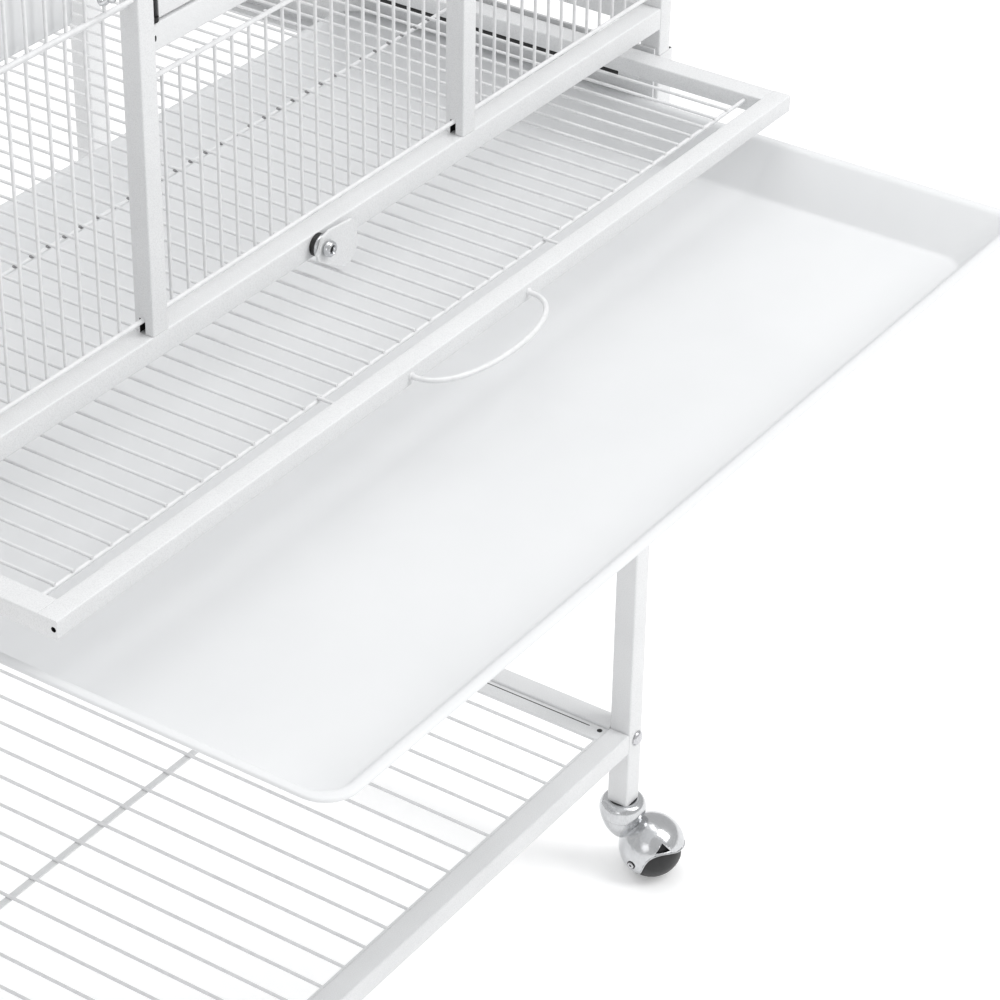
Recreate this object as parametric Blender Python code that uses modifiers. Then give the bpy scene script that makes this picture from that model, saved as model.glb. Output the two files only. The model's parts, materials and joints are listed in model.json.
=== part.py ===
"""Bird cage on a rolling stand, with a slide-out grate and a slide-out plastic tray.

Metres, +Z up.  X runs along the width of the cage, -Y is the front, Z = 0 is the floor.
Inside this file y = 0 is the front face of the cage; the whole model is then set back by
DEPTH_SHIFT so that its box, with the tray pulled out, is centred on the origin.
"""
import math

import bmesh
import bpy
from mathutils import Matrix, Vector

# ---------------------------------------------------------------- driving dimensions
GAP = 0.0003                # clearance between pieces that touch
PITCH = 0.017               # spacing of the cage wires
WIRE = 0.0024               # cage wire thickness
ROD = 0.0034                # cross rods of the wire panels

LEG = 0.020                 # square tube of the stand
LEG_X0, LEG_X1 = 0.418, 0.438
LEG_BOTTOM, LEG_TOP = 0.0726, 0.7873
DEPTH = 0.585               # front face to back face of the cage and the stand

POST_W, POST_D = 0.015, 0.017           # cage posts
POST_FOOT = 0.7876
MID_POST_X = 0.1605                     # inner face of the two middle posts
RAIL = 0.017                            # cage rails, square
RAIL_TOP = 0.826
CAGE_TOP = 1.600
PANEL_Y, DOOR_WIRES_Y = 0.0089, 0.0054   # how far the wires stand behind the outer face
LOW_ROD = RAIL_TOP + 0.0100
SILL_ROD = RAIL_TOP + 0.1685            # top rod of the low middle panel
SIDE_SILL_ROD = RAIL_TOP + 0.2237       # top rod of the low side panels
POST_CHAMFER_X, POST_CHAMFER_Y = 0.003, 0.006   # folded-in back corners of the middle posts

SHELF_TOP, SHELF_H = 0.1520, 0.0200
SHELF_PITCH, SHELF_WIRE = 0.0284, 0.003

GRATE_X, GRATE_RAIL_W, GRATE_FRONT_W, GRATE_H = 0.409, 0.018, 0.015, 0.013
GRATE_TOP = RAIL_TOP - 0.033
LOCK_X = -0.0077
GRATE_FRONT, GRATE_LENGTH, GRATE_PITCH = -0.1185, 0.575, 0.01692
HANDLE_SPAN, HANDLE_REACH, HANDLE_WIRE = 0.133, 0.034, 0.004

TRAY_X, TRAY_FRONT, TRAY_LENGTH = 0.414, -0.316, 0.605
TRAY_TOP, TRAY_DEPTH, TRAY_FLARE, TRAY_WALL = 0.752, 0.033, 0.027, 0.0025
TRAY_LIP, TRAY_RADIUS = 0.006, 0.022

BAR_Z0, BAR_Z1 = 1.0145, 1.0325         # fixed bar under the main door
DOOR_X0, DOOR_X1, DOOR_Z0, DOOR_Z1, DOOR_TUBE = -0.1555, 0.158, 1.0345, 1.365, 0.018
HINGE_X, HINGE_Y, HINGE_R = -0.158, 0.0018, 0.0016
FEEDER_Z0, FEEDER_Z1 = 1.0530, 1.2170
FEEDER_X0, FEEDER_X1 = 0.1785, 0.4150
CUP_X0, CUP_X1, CUP_HEIGHT, CUP_REACH = 0.212, 0.352, 0.080, 0.055

CASTER_TURN, CASTER_AHEAD, CASTER_ASIDE = math.atan2(3, 4), 0.0148, 0.0228
WHEEL_R, WHEEL_HALF, HOOD_R, CUP_BOTTOM, HOOD_BOTTOM = 0.0268, 0.0165, 0.0290, 0.0597, 0.0070

DEPTH_SHIFT = -0.13975

# ---------------------------------------------------------------- scene and collections
for old in list(bpy.data.objects):
    bpy.data.objects.remove(old, do_unlink=True)
parts = bpy.data.collections.new("bird_cage_on_stand")
cutters = bpy.data.collections.new("cutters")
bpy.context.scene.collection.children.link(parts)
bpy.context.scene.collection.children.link(cutters)


def material(name, colour, roughness, metallic):
    mat = bpy.data.materials.new(name)
    mat.use_nodes = True
    shader = mat.node_tree.nodes["Principled BSDF"]
    shader.inputs["Base Color"].default_value = (*colour, 1.0)
    shader.inputs["Roughness"].default_value = roughness
    shader.inputs["Metallic"].default_value = metallic
    return mat


TUBE_WHITE = material("white_hammertone_paint", (0.80, 0.81, 0.82), 0.45, 0.0)
WIRE_WHITE = material("white_wire_paint", (0.83, 0.84, 0.85), 0.35, 0.0)
PLASTIC = material("white_plastic", (0.86, 0.87, 0.88), 0.40, 0.0)
CHROME = material("chrome", (0.78, 0.78, 0.80), 0.12, 1.0)
BLACK = material("black_rubber", (0.02, 0.02, 0.02), 0.60, 0.0)


def put(obj, mat, collection=parts):
    """Give an object its material and move it to its collection."""
    for old in list(obj.users_collection):
        old.objects.unlink(obj)
    collection.objects.link(obj)
    if mat:
        obj.data.materials.clear()
        obj.data.materials.append(mat)
    return obj


def from_bmesh(name, bm, mat, location=(0, 0, 0), collection=parts):
    mesh = bpy.data.meshes.new(name)
    bmesh.ops.recalc_face_normals(bm, faces=bm.faces)
    bm.to_mesh(mesh)
    bm.free()
    obj = bpy.data.objects.new(name, mesh)
    obj.location = location
    return put(obj, mat, collection)


def box(name, low, high, mat, collection=parts):
    """Axis-aligned block between two corners, with its origin at its centre."""
    low, high = Vector(low), Vector(high)
    bm = bmesh.new()
    bmesh.ops.create_cube(bm, size=1.0, matrix=Matrix.Diagonal((*(high - low), 1.0)))
    return from_bmesh(name, bm, mat, (low + high) / 2, collection)


def turned(name, profile, segments, mat, location=(0, 0, 0), rotation=(0, 0, 0)):
    """Turn a (radius, height) profile, listed top to bottom, about the local Z axis."""
    mesh = bpy.data.meshes.new(name)
    edges = [(i, i + 1) for i in range(len(profile) - 1)]
    mesh.from_pydata([(r, 0.0, z) for r, z in profile], edges, [])
    obj = bpy.data.objects.new(name, mesh)
    obj.location, obj.rotation_euler = location, rotation
    screw = obj.modifiers.new("turn", "SCREW")
    screw.axis = "Z"
    screw.steps = screw.render_steps = segments
    screw.use_merge_vertices = True
    screw.merge_threshold = 0.00005
    return put(obj, mat)


def sheet(name, loops, thickness, mat, location, rotation=(0, 0, 0), collection=parts):
    """Flat piece: a filled outline and its holes, extruded to a thickness."""
    curve = bpy.data.curves.new(name, "CURVE")
    curve.dimensions = "2D"
    curve.fill_mode = "BOTH"
    curve.extrude = thickness / 2
    for loop in loops:
        spline = curve.splines.new("POLY")
        spline.points.add(len(loop) - 1)
        for point, (u, v) in zip(spline.points, loop):
            point.co = (u, v, 0.0, 1.0)
        spline.use_cyclic_u = True
    obj = bpy.data.objects.new(name, curve)
    obj.location, obj.rotation_euler = location, rotation
    return put(obj, mat, collection)


def to_mesh(obj, mat):
    """Replace a curve object by a welded mesh object of the same name and place."""
    bpy.context.view_layer.update()
    name, place = obj.name, obj.matrix_world.copy()
    graph = bpy.context.evaluated_depsgraph_get()
    mesh = bpy.data.meshes.new_from_object(obj.evaluated_get(graph))
    bpy.data.objects.remove(obj, do_unlink=True)
    bm = bmesh.new()
    bm.from_mesh(mesh)
    bmesh.ops.remove_doubles(bm, verts=bm.verts, dist=0.00001)
    bm.to_mesh(mesh)
    bm.free()
    new = bpy.data.objects.new(name, mesh)
    new.matrix_world = place
    return put(new, mat)


def combine(target, tool, operation, solver="EXACT"):
    """Boolean with a hidden tool, which is kept as a wire guide."""
    modifier = target.modifiers.new(operation.lower(), "BOOLEAN")
    modifier.operation = operation
    modifier.object = tool
    modifier.solver = solver
    for old in list(tool.users_collection):
        old.objects.unlink(tool)
    cutters.objects.link(tool)
    tool.hide_render = True
    tool.display_type = "WIRE"


def rectangle(u0, u1, v0, v1):
    return [(u0, v0), (u1, v0), (u1, v1), (u0, v1)]


def grille_loops(u0, u1, wires, rods, wire, rod):
    """Outline and holes of a flat grille: rods run from u0 to u1, wires join the rods."""
    left, right = wires[0] - wire / 2, wires[-1] + wire / 2
    outline = [(u0, rods[0] - rod / 2), (u1, rods[0] - rod / 2)]
    for low, high in zip(rods, rods[1:]):
        outline += [(u1, low + rod / 2), (right, low + rod / 2),
                    (right, high - rod / 2), (u1, high - rod / 2)]
    outline += [(u1, rods[-1] + rod / 2), (u0, rods[-1] + rod / 2)]
    for low, high in reversed(list(zip(rods, rods[1:]))):
        outline += [(u0, high - rod / 2), (left, high - rod / 2),
                    (left, low + rod / 2), (u0, low + rod / 2)]
    loops = [outline]
    for low, high in zip(rods, rods[1:]):
        for a, b in zip(wires, wires[1:]):
            loops.append(rectangle(a + wire / 2, b - wire / 2, low + rod / 2, high - rod / 2))
    return loops


def spaced(centre, pitch, count):
    """Evenly spaced positions about a centre."""
    return [centre + pitch * (i - (count - 1) / 2) for i in range(count)]


UPRIGHT = (math.pi / 2, 0, 0)                    # outline plane XZ, facing front and back
SIDEWAYS = (math.pi / 2, 0, math.pi / 2)         # outline plane YZ, facing left and right


# ---------------------------------------------------------------- stand
def build_stand():
    for side, sx in (("left", -1), ("right", 1)):
        x0, x1 = sorted((sx * LEG_X0, sx * LEG_X1))
        for end, y0 in (("front", 0.0), ("back", DEPTH - LEG)):
            box(f"leg_{end}_{side}", (x0, y0, LEG_BOTTOM), (x1, y0 + LEG, LEG_TOP), TUBE_WHITE)
    low = SHELF_TOP - SHELF_H
    inner = LEG_X0 - GAP
    box("shelf_front_rail", (-inner, 0, low), (inner, LEG, SHELF_TOP), TUBE_WHITE)
    box("shelf_back_rail", (-inner, DEPTH - LEG, low), (inner, DEPTH, SHELF_TOP), TUBE_WHITE)
    build_shelf(low)
    for side, sx in (("left", -1), ("right", 1)):
        turned(f"leg_screw_{side}", [(0.0, 0.0032), (0.0024, 0.0030), (0.0046, 0.0016),
                                     (0.0068, 0.0012), (0.0068, 0.0), (0.0, 0.0)], 16, CHROME,
               (sx * 0.430, -GAP, 0.1425), UPRIGHT)


def build_shelf(low):
    """Wire shelf with flat side strips, a flat cross strip and its two side tubes."""
    y0, y1 = LEG + GAP, DEPTH - LEG - GAP
    strip_in, strip_out = 0.400, 0.4145
    wires = spaced(0, SHELF_PITCH, 28)
    half = SHELF_WIRE / 2
    loops = [rectangle(-strip_out, strip_out, y0, y1)]
    edges = [(-strip_in, wires[0] - half)]
    edges += [(a + half, b - half) for a, b in zip(wires, wires[1:])]
    edges.append((wires[-1] + half, strip_in))
    middle = DEPTH / 2
    for v0, v1 in ((y0 + 0.004, middle - 0.0032), (middle + 0.0032, y1 - 0.004)):
        loops += [rectangle(u0, u1, v0, v1) for u0, u1 in edges]
    shelf = to_mesh(sheet("shelf", loops, SHELF_WIRE, WIRE_WHITE,
                          (0, 0, SHELF_TOP - 0.004)), WIRE_WHITE)
    for sx in (-1, 1):
        x0, x1 = sorted((sx * LEG_X0, sx * LEG_X1))
        tube = box(f"shelf_tube_{sx}", (x0, y0, low), (x1, y1, SHELF_TOP), None)
        combine(shelf, tube, "UNION")
        x0, x1 = sorted((sx * (strip_out - 0.002), sx * (LEG_X0 + 0.002)))
        for k, y in enumerate((0.12, DEPTH - 0.12)):
            tab = box(f"shelf_tab_{sx}_{k}", (x0, y, SHELF_TOP - 0.0050),
                      (x1, y + 0.02, SHELF_TOP - 0.0030), None)
            combine(shelf, tab, "UNION")


# ---------------------------------------------------------------- cage frame
def build_frame():
    for side, sx in (("left", -1), ("right", 1)):
        x0, x1 = sorted((sx * LEG_X0, sx * (LEG_X0 + POST_W)))
        top = CAGE_TOP - RAIL - GAP
        box(f"post_front_{side}", (x0, 0, POST_FOOT), (x1, POST_D, top), TUBE_WHITE)
        box(f"post_back_{side}", (x0, DEPTH - POST_D, POST_FOOT), (x1, DEPTH, top), TUBE_WHITE)
        m0, m1 = sorted((sx * MID_POST_X, sx * (MID_POST_X + POST_W)))
        fold = POST_D - POST_CHAMFER_Y
        outline = [(m0, 0), (m1, 0), (m1, fold), (m1 - POST_CHAMFER_X, POST_D),
                   (m0 + POST_CHAMFER_X, POST_D), (m0, fold)]
        foot = RAIL_TOP + GAP
        sheet(f"post_middle_{side}", [outline], top - foot, TUBE_WHITE, (0, 0, (top + foot) / 2))
        r0, r1 = sorted((sx * (LEG_X0 + POST_W), sx * (LEG_X0 + POST_W - RAIL)))
        box(f"rail_{side}", (r0, POST_D + GAP, RAIL_TOP - RAIL),
            (r1, DEPTH - POST_D - GAP, RAIL_TOP), TUBE_WHITE)
    inner = LEG_X0 - GAP
    box("rail_front", (-inner, 0, RAIL_TOP - RAIL), (inner, RAIL, RAIL_TOP), TUBE_WHITE)
    box("rail_back", (-inner, DEPTH - RAIL, RAIL_TOP - RAIL), (inner, DEPTH, RAIL_TOP), TUBE_WHITE)
    out = LEG_X0 + POST_W
    sheet("top_frame", [rectangle(-out, out, 0, DEPTH),
                        rectangle(-out + RAIL, out - RAIL, RAIL, DEPTH - RAIL)],
          RAIL, TUBE_WHITE, (0, 0, CAGE_TOP - RAIL / 2))


def wire_panel(name, u0, u1, wires, rods, location, rotation=UPRIGHT, thickness=WIRE):
    return sheet(name, grille_loops(u0, u1, wires, rods, WIRE, ROD), thickness,
                 WIRE_WHITE, location, rotation)


def build_panels():
    top_rod = CAGE_TOP - RAIL - 0.012
    mid_rod = (LOW_ROD + top_rod) / 2
    middle = MID_POST_X - GAP
    wires = spaced(0, PITCH, 18)
    wire_panel("panel_low_middle", -middle, middle, wires, [LOW_ROD, SILL_ROD], (0, PANEL_Y, 0))
    wire_panel("panel_high_middle", -middle, middle, wires,
               [DOOR_Z1 + 0.017, top_rod], (0, PANEL_Y, 0))
    for side, sx in (("left", -1), ("right", 1)):
        ends = sorted((sx * (MID_POST_X + POST_W + GAP), sx * (LEG_X0 - GAP)))
        wires = spaced(sx * 0.2975, PITCH, 13)
        wire_panel(f"panel_low_{side}", *ends, wires, [LOW_ROD, SIDE_SILL_ROD], (0, PANEL_Y, 0))
        wire_panel(f"panel_high_{side}", *ends, wires,
                   [FEEDER_Z1 + 0.007, top_rod], (0, PANEL_Y, 0))
        wires = spaced(DEPTH / 2, PITCH, 32)
        wire_panel(f"panel_{side}", POST_D + GAP, DEPTH - POST_D - GAP, wires,
                   [LOW_ROD, mid_rod, top_rod], (sx * (LEG_X0 + POST_W - PANEL_Y), 0, 0), SIDEWAYS)
    inner = LEG_X0 - GAP
    wire_panel("panel_back", -inner, inner, spaced(0, PITCH, 48), [LOW_ROD, mid_rod, top_rod],
               (0, DEPTH - PANEL_Y, 0))
    reach = LEG_X0 + POST_W - RAIL - GAP
    wires = spaced(0, PITCH, 48)
    rods = [RAIL + 0.012, DEPTH / 2, DEPTH - RAIL - 0.012]
    loops = grille_loops(-reach, reach, wires, rods, WIRE, ROD)
    sheet("panel_top", loops, WIRE, WIRE_WHITE, (0, 0, CAGE_TOP - RAIL / 2))


# ---------------------------------------------------------------- guides, grate and tray
def build_guides():
    """Folded side channels: an upper ledge for the grate and a lower one for the tray."""
    out, web = LEG_X0 - GAP, 0.0022
    top, ledge, low = GRATE_TOP, GRATE_TOP - GRATE_H - GAP, 0.7270
    profile = [(out, low - web), (out, top), (out - web, top), (out - web, ledge),
               (0.3930, ledge), (0.3930, ledge - web), (out - web, ledge - web),
               (out - web, low), (0.3960, low), (0.3960, low - web)]
    length = DEPTH - 0.006
    for side, sx in (("left", -1), ("right", 1)):
        loop = [(sx * u, v) for u, v in profile]
        sheet(f"guide_{side}", [loop], length, TUBE_WHITE, (0, DEPTH / 2, 0), UPRIGHT)


def build_grate():
    y0, y1 = GRATE_FRONT, GRATE_FRONT + GRATE_LENGTH
    inner = GRATE_X - GRATE_RAIL_W
    z = GRATE_TOP - GRATE_H / 2
    sheet("grate_frame", [rectangle(-GRATE_X, GRATE_X, y0, y1),
                          rectangle(-inner, inner, y0 + GRATE_FRONT_W, y1 - GRATE_FRONT_W)],
          GRATE_H, TUBE_WHITE, (0, 0, z))
    loops = grille_loops(-inner + GAP, inner - GAP, spaced(-0.0065, GRATE_PITCH, 45),
                         [y0 + 0.0285, 0.175, y1 - GRATE_FRONT_W - 0.003], WIRE, 0.003)
    sheet("grate_wires", loops, WIRE, WIRE_WHITE, (0, 0, GRATE_TOP - 0.0025))
    curve = bpy.data.curves.new("grate_handle", "CURVE")
    curve.dimensions = "3D"
    curve.bevel_depth = HANDLE_WIRE / 2
    curve.bevel_resolution = 2
    curve.use_fill_caps = True
    spline = curve.splines.new("POLY")
    count = 17
    spline.points.add(count - 1)
    for i, point in enumerate(spline.points):
        angle = math.pi * i / (count - 1)
        point.co = (-HANDLE_SPAN / 2 * math.cos(angle),
                    -GAP - HANDLE_REACH * math.sin(angle) ** 0.8, 0.0, 1.0)
    handle = bpy.data.objects.new("grate_handle", curve)
    handle.location = (0, y0 - GAP, z)
    put(handle, WIRE_WHITE)


def rounded(bm, radius, segments):
    upright = [e for e in bm.edges if abs(e.verts[0].co.z - e.verts[1].co.z) > 0.001]
    bmesh.ops.bevel(bm, geom=upright, offset=radius, offset_type="OFFSET",
                    segments=segments, profile=0.5, affect="EDGES")


def open_shell(name, half_x, half_y, depth, flare, lip, radius, wall, mat, location):
    """Open-topped shell with flared walls, round corners and an outward lip."""
    bm = bmesh.new()
    size = (2 * (half_x - lip), 2 * (half_y - lip), depth)
    bmesh.ops.create_cube(bm, size=1.0, matrix=Matrix.Diagonal((*size, 1.0)))
    rounded(bm, radius, 4)
    top = max(v.co.z for v in bm.verts)
    for vert in bm.verts:
        if vert.co.z < top - depth / 2:
            vert.co.x *= 1 - flare / (half_x - lip)
            vert.co.y *= 1 - flare / (half_y - lip)
    lid = [f for f in bm.faces if f.normal.z > 0.99]
    bmesh.ops.delete(bm, geom=lid, context="FACES_ONLY")
    rim = [e for e in bm.edges if e.is_boundary]
    grown = bmesh.ops.extrude_edge_only(bm, edges=rim)["geom"]
    for vert in (v for v in grown if isinstance(v, bmesh.types.BMVert)):
        vert.co.x *= half_x / (half_x - lip)
        vert.co.y *= half_y / (half_y - lip)
    bmesh.ops.recalc_face_normals(bm, faces=bm.faces)
    mesh = bpy.data.meshes.new(name)
    bm.to_mesh(mesh)
    bm.free()
    obj = bpy.data.objects.new(name, mesh)
    obj.location = location
    shell = obj.modifiers.new("wall", "SOLIDIFY")
    shell.thickness = wall
    shell.offset = 0.0
    shell.use_even_offset = True
    return put(obj, mat)


def build_tray():
    half = (TRAY_X, TRAY_LENGTH / 2)
    open_shell("tray", *half, TRAY_DEPTH, TRAY_FLARE, TRAY_LIP, TRAY_RADIUS, TRAY_WALL, PLASTIC,
               (0, TRAY_FRONT + TRAY_LENGTH / 2, TRAY_TOP - TRAY_DEPTH / 2 - TRAY_WALL / 2))


def build_lock():
    """Swinging plate on the front rail that holds the grate in, and its bolt."""
    pivot = (LOCK_X, 0, RAIL_TOP - RAIL / 2)
    outline = [(-0.0073, -0.0071), (-0.0043, -0.0101), (0.0287, -0.0101), (0.0337, -0.0051),
               (0.0357, 0.0049), (0.0267, 0.0209), (0.0207, 0.0219), (-0.0013, 0.0119),
               (-0.0073, 0.0059)]
    hole = [(0.0033 * math.cos(a), 0.0033 * math.sin(a))
            for a in (2 * math.pi * i / 16 for i in range(16))]
    plate = sheet("lock_plate", [outline, hole], 0.002, TUBE_WHITE,
                  (pivot[0], -0.0075, pivot[2]), (math.pi / 2, math.radians(30), 0))
    plate.rotation_mode = "XYZ"
    turned("lock_bolt", [(0.0, 0.0135), (0.0045, 0.0135), (0.0058, 0.0125), (0.0058, 0.0092),
                         (0.0030, 0.0092), (0.0030, 0.0060), (0.0088, 0.0060), (0.0088, 0.0040),
                         (0.0060, 0.0040), (0.0060, 0.0), (0.0, 0.0)], 20, CHROME,
           (pivot[0], -GAP, pivot[2]), UPRIGHT)


# ---------------------------------------------------------------- doors
def latch(name, x, y, z, upright):
    """Small turning latch: a round boss with a long lever, or with two short wings."""
    boss = turned(name, [(0.0, 0.0085), (0.0050, 0.0085), (0.0062, 0.0070), (0.0062, 0.0),
                         (0.0, 0.0)], 16, CHROME, (x, y, z), UPRIGHT)
    low, high = ((-0.0025, -0.0190), (0.0025, 0.0)) if upright else ((-0.0105, -0.002), (0.0105, 0.002))
    lever = box(name + "_lever", (x + low[0], y - 0.0070, z + low[1]),
                (x + high[0], y - 0.0035, z + high[1]), None)
    combine(boss, lever, "UNION")


def build_doors():
    z0, z1 = DOOR_Z0, DOOR_Z1
    frame = to_mesh(sheet("main_door", [
        rectangle(DOOR_X0, DOOR_X1, z0, z1),
        rectangle(DOOR_X0 + DOOR_TUBE, DOOR_X1 - DOOR_TUBE, z0 + DOOR_TUBE, z1 - DOOR_TUBE)],
        0.011, TUBE_WHITE, (0, 0.0065, 0), UPRIGHT), TUBE_WHITE)
    centre, inside = (DOOR_X0 + DOOR_X1) / 2, DOOR_TUBE - 0.006
    rods = [z0 + DOOR_TUBE - 0.004, (z0 + z1) / 2, z1 - DOOR_TUBE + 0.004]
    mesh_panel = sheet("main_door_wires", grille_loops(
        DOOR_X0 + inside, DOOR_X1 - inside, spaced(centre, PITCH, 16), rods,
        WIRE, ROD), WIRE, WIRE_WHITE, (0, DOOR_WIRES_Y, 0), UPRIGHT)
    combine(frame, to_mesh(mesh_panel, WIRE_WHITE), "UNION", "MANIFOLD")
    latch("main_latch", 0.149, 0.001 - GAP, 1.200, True)
    bar_end = MID_POST_X - GAP
    box("sill_bar", (-bar_end, 0.001, BAR_Z0), (bar_end, 0.012, BAR_Z1), TUBE_WHITE)
    turned("door_hinge_pin", [(0.0, DOOR_Z1), (HINGE_R, DOOR_Z1), (HINGE_R, BAR_Z1 + GAP),
                              (0.0, BAR_Z1 + GAP)], 16, CHROME, (HINGE_X, HINGE_Y, 0))
    for side, sx in (("left", -1), ("right", 1)):
        ends = sorted((sx * FEEDER_X0, sx * FEEDER_X1))
        wires = spaced(sx * 0.304, PITCH, 13)
        rods = [FEEDER_Z0 + ROD / 2, FEEDER_Z1 - ROD / 2]
        loops = grille_loops(*ends, wires, rods, WIRE, ROD)
        sheet(f"feeder_door_{side}", loops, WIRE, WIRE_WHITE, (0, 0.0022, 0), UPRIGHT)
        latch(f"feeder_latch_{side}", sx * 0.2045, 0.001 - GAP, 1.0680, False)
        centre = sx * (CUP_X0 + CUP_X1) / 2
        open_shell(f"feeder_cup_{side}", (CUP_X1 - CUP_X0) / 2, CUP_REACH / 2, CUP_HEIGHT, 0.004,
                   0.002, 0.008, 0.002, PLASTIC,
                   (centre, 0.0050 + CUP_REACH / 2, FEEDER_Z0 + 0.001 + CUP_HEIGHT / 2))


# ---------------------------------------------------------------- casters
def build_caster(tag, x, y, side):
    """Ball caster: a fixed cup, a turning ball-shaped hood beside it, and a wheel inside."""
    turned(f"caster_cup_{tag}", [
        (0.0, LEG_BOTTOM - GAP), (0.0098, LEG_BOTTOM - GAP), (0.0098, 0.0655), (0.0150, 0.0640),
        (0.0178, 0.0668), (0.0185, 0.0682), (0.0198, 0.0682), (0.0205, 0.0665), (0.0205, 0.0640),
        (0.0196, CUP_BOTTOM), (0.0, CUP_BOTTOM)], 24, CHROME, (x, y, 0))
    turn = -side * CASTER_TURN
    across = Vector((math.cos(turn), math.sin(turn), 0))
    ahead = Vector((math.sin(turn), -math.cos(turn), 0))
    centre = Vector((x, y, HOOD_R)) + CASTER_AHEAD * ahead + side * CASTER_ASIDE * across
    ball = [(HOOD_R * math.sin(a), HOOD_R * math.cos(a))
            for a in (math.pi * i / 14 for i in range(1, 14))]
    hood = turned(f"caster_hood_{tag}", [(0.0, HOOD_R), *ball, (0.0, -HOOD_R)], 28, CHROME, centre)
    funnel = [(0.0, CUP_BOTTOM - GAP), (0.0194, CUP_BOTTOM - GAP), (0.0180, 0.0535),
              (0.0153, 0.0470), (0.0120, 0.0415), (0.0090, 0.0370), (0.0, 0.0340)]
    combine(hood, turned(f"caster_funnel_{tag}", funnel, 24, None, (x, y, 0)), "UNION")
    axle, wheel = Vector((centre.x, centre.y, WHEEL_R)), (0, math.pi / 2, turn)
    tread = [(WHEEL_R, 0.0), (WHEEL_R - 0.0006, 0.006), (WHEEL_R - 0.0025, 0.0115),
             (WHEEL_R - 0.0055, 0.0150), (WHEEL_R - 0.0100, WHEEL_HALF), (0.0, WHEEL_HALF)]
    profile = [*reversed(tread), *((r, -h) for r, h in tread[1:])]
    room = [(r + 0.001 if r else 0.0, h + math.copysign(0.001, h) if h else 0.0)
            for r, h in profile]
    combine(hood, turned(f"caster_room_{tag}", room, 28, None, axle, wheel), "DIFFERENCE")
    arch = [(-0.0172, -0.04), (0.0172, -0.04), (0.0172, -0.008), (0.0135, 0.0042),
            (0.0065, 0.0084), (0.0, 0.0093), (-0.0065, 0.0084), (-0.0135, 0.0042), (-0.0172, -0.008)]
    mouth = sheet(f"caster_mouth_{tag}", [arch], 0.056, None, centre + 0.032 * ahead,
                  (math.pi / 2, 0, turn))
    combine(hood, to_mesh(mouth, None), "DIFFERENCE")
    below = box(f"caster_below_{tag}", (-0.05, -0.05, -0.05), (0.05, 0.05, HOOD_BOTTOM), None)
    below.location += Vector((x, y, 0))
    combine(hood, below, "DIFFERENCE")
    turned(f"caster_wheel_{tag}", profile, 28, BLACK, axle, wheel)


build_stand()
build_frame()
build_panels()
build_guides()
build_grate()
build_tray()
build_lock()
build_doors()
for tag, cx, cy in (("front_left", -1, 0), ("front_right", 1, 0),
                    ("back_left", -1, 1), ("back_right", 1, 1)):
    build_caster(tag, cx * (LEG_X0 + LEG_X1) / 2, LEG / 2 + cy * (DEPTH - LEG), cx)

for obj in list(parts.objects) + list(cutters.objects):
    obj.location.y += DEPTH_SHIFT
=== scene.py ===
"""Bird cage on a rolling stand: the looks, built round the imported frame.

Metres, +Z up, X along the width, -Y towards the front where the grate and the tray come out.
"""

import json
import math

import bmesh
import bpy
from mathutils import Matrix, Vector


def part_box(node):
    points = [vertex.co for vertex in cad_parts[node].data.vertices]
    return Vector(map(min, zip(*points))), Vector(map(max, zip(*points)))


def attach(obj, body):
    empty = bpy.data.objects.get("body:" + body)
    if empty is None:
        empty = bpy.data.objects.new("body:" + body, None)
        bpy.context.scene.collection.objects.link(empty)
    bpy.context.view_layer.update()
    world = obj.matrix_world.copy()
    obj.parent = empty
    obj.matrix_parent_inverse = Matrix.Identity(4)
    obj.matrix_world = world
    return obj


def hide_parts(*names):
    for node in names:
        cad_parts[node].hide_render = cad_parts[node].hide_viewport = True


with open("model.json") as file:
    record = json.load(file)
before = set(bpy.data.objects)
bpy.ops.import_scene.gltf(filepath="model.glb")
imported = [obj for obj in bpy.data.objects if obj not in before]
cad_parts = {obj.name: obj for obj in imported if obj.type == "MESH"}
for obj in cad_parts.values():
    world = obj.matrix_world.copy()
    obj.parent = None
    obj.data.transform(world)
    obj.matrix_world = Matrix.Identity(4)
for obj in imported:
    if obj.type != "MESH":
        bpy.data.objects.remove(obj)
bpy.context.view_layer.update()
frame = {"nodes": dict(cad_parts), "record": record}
BODY_OF = {n: b for b, ns in frame["record"]["behaviour"]["bodies"].items() for n in ns}

PITCH = 0.017                      # cage wire spacing
WIRE_R, ROD_R = 0.0012, 0.0016     # round cage wires and their cross rods
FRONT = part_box("rail_front")[0].y  # front face of the cage
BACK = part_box("rail_back")[1].y
ALONG_X, ALONG_Y, ALONG_Z = 0, 1, 2
OUT = (0, -1, 0)                   # the way the front's fasteners stand off


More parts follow.
